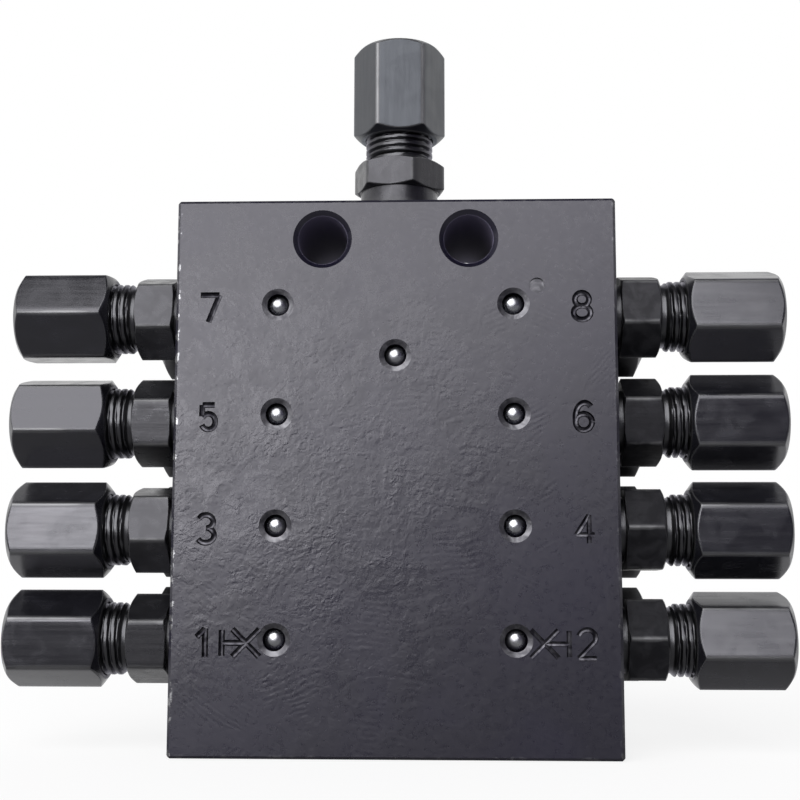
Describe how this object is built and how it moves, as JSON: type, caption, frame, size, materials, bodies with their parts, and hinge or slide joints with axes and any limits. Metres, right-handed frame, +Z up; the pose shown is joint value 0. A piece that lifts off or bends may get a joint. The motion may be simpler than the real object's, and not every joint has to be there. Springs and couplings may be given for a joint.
{
  "type": "lubricant divider block",
  "caption": "Progressive grease divider: a black steel block with tube fittings on both sides and top, ball-sealed drillings and sliding pistons inside.",
  "frame": {"origin": "centre of the block's base", "axes": "+Z up towards the inlet, +Y from the front face to the mounting face, +X towards the even outlets"},
  "size_m": [0.107, 0.03, 0.102],
  "materials": {
    "black_block": "face-milled steel, blackened, satin",
    "black_nut": "blackened steel, satin, edges rubbed bright",
    "black_fitting": "blackened turned steel, oily satin",
    "black_plug": "blackened steel, satin",
    "bright_ball": "polished bearing steel",
    "ground_steel": "hardened and ground steel",
    "plated_ring": "zinc plated steel",
    "spring_wire": "drawn spring wire"
  },
  "bodies": {
    "housing": {"block": "black_block", "ball_plugs": "bright_ball", "inlet_body": "black_fitting", "inlet_ring": "plated_ring", "inlet_nut": "black_nut", "outlet_body_1": "black_fitting", "outlet_ring_1": "plated_ring", "outlet_nut_1": "black_nut", "check_spring_1": "spring_wire", "piston_plug_1": "black_plug", "outlet_body_2": "black_fitting", "outlet_ring_2": "plated_ring", "outlet_nut_2": "black_nut", "check_spring_2": "spring_wire", "piston_plug_2": "black_plug", "outlet_body_3": "black_fitting", "outlet_ring_3": "plated_ring", "outlet_nut_3": "black_nut", "check_spring_3": "spring_wire", "piston_plug_3": "black_plug", "outlet_body_4": "black_fitting", "outlet_ring_4": "plated_ring", "outlet_nut_4": "black_nut", "check_spring_4": "spring_wire", "piston_plug_4": "black_plug", "outlet_body_5": "black_fitting", "outlet_ring_5": "plated_ring", "outlet_nut_5": "black_nut", "check_spring_5": "spring_wire", "piston_plug_5": "black_plug", "outlet_body_6": "black_fitting", "outlet_ring_6": "plated_ring", "outlet_nut_6": "black_nut", "check_spring_6": "spring_wire", "piston_plug_6": "black_plug", "outlet_body_7": "black_fitting", "outlet_ring_7": "plated_ring", "outlet_nut_7": "black_nut", "check_spring_7": "spring_wire", "piston_plug_7": "black_plug", "outlet_body_8": "black_fitting", "outlet_ring_8": "plated_ring", "outlet_nut_8": "black_nut", "check_spring_8": "spring_wire", "piston_plug_8": "black_plug"},
    "piston_1": {"piston_1": "ground_steel"},
    "piston_2": {"piston_2": "ground_steel"},
    "piston_3": {"piston_3": "ground_steel"},
    "piston_4": {"piston_4": "ground_steel"},
    "check_ball_1": {"check_ball_1": "bright_ball"},
    "check_ball_2": {"check_ball_2": "bright_ball"},
    "check_ball_3": {"check_ball_3": "bright_ball"},
    "check_ball_4": {"check_ball_4": "bright_ball"},
    "check_ball_5": {"check_ball_5": "bright_ball"},
    "check_ball_6": {"check_ball_6": "bright_ball"},
    "check_ball_7": {"check_ball_7": "bright_ball"},
    "check_ball_8": {"check_ball_8": "bright_ball"}
  },
  "joints": [
    {"name": "piston_1_stroke", "type": "slide", "parent": "housing", "child": "piston_1", "axis": [1, 0, 0], "range_m": [0, 0.007]},
    {"name": "piston_2_stroke", "type": "slide", "parent": "housing", "child": "piston_2", "axis": [1, 0, 0], "range_m": [-0.007, 0]},
    {"name": "piston_3_stroke", "type": "slide", "parent": "housing", "child": "piston_3", "axis": [1, 0, 0], "range_m": [0, 0.007]},
    {"name": "piston_4_stroke", "type": "slide", "parent": "housing", "child": "piston_4", "axis": [1, 0, 0], "range_m": [-0.007, 0]},
    {"name": "check_valve_1", "type": "slide", "parent": "housing", "child": "check_ball_1", "axis": [-1, 0, 0], "range_m": [0, 0.0012], "stiffness_N_per_m": 300, "springref_m": -0.001, "deforming": ["check_spring_1"]},
    {"name": "check_valve_2", "type": "slide", "parent": "housing", "child": "check_ball_2", "axis": [1, 0, 0], "range_m": [0, 0.0012], "stiffness_N_per_m": 300, "springref_m": -0.001, "deforming": ["check_spring_2"]},
    {"name": "check_valve_3", "type": "slide", "parent": "housing", "child": "check_ball_3", "axis": [-1, 0, 0], "range_m": [0, 0.0012], "stiffness_N_per_m": 300, "springref_m": -0.001, "deforming": ["check_spring_3"]},
    {"name": "check_valve_4", "type": "slide", "parent": "housing", "child": "check_ball_4", "axis": [1, 0, 0], "range_m": [0, 0.0012], "stiffness_N_per_m": 300, "springref_m": -0.001, "deforming": ["check_spring_4"]},
    {"name": "check_valve_5", "type": "slide", "parent": "housing", "child": "check_ball_5", "axis": [-1, 0, 0], "range_m": [0, 0.0012], "stiffness_N_per_m": 300, "springref_m": -0.001, "deforming": ["check_spring_5"]},
    {"name": "check_valve_6", "type": "slide", "parent": "housing", "child": "check_ball_6", "axis": [1, 0, 0], "range_m": [0, 0.0012], "stiffness_N_per_m": 300, "springref_m": -0.001, "deforming": ["check_spring_6"]},
    {"name": "check_valve_7", "type": "slide", "parent": "housing", "child": "check_ball_7", "axis": [-1, 0, 0], "range_m": [0, 0.0012], "stiffness_N_per_m": 300, "springref_m": -0.001, "deforming": ["check_spring_7"]},
    {"name": "check_valve_8", "type": "slide", "parent": "housing", "child": "check_ball_8", "axis": [1, 0, 0], "range_m": [0, 0.0012], "stiffness_N_per_m": 300, "springref_m": -0.001, "deforming": ["check_spring_8"]}
  ]
}
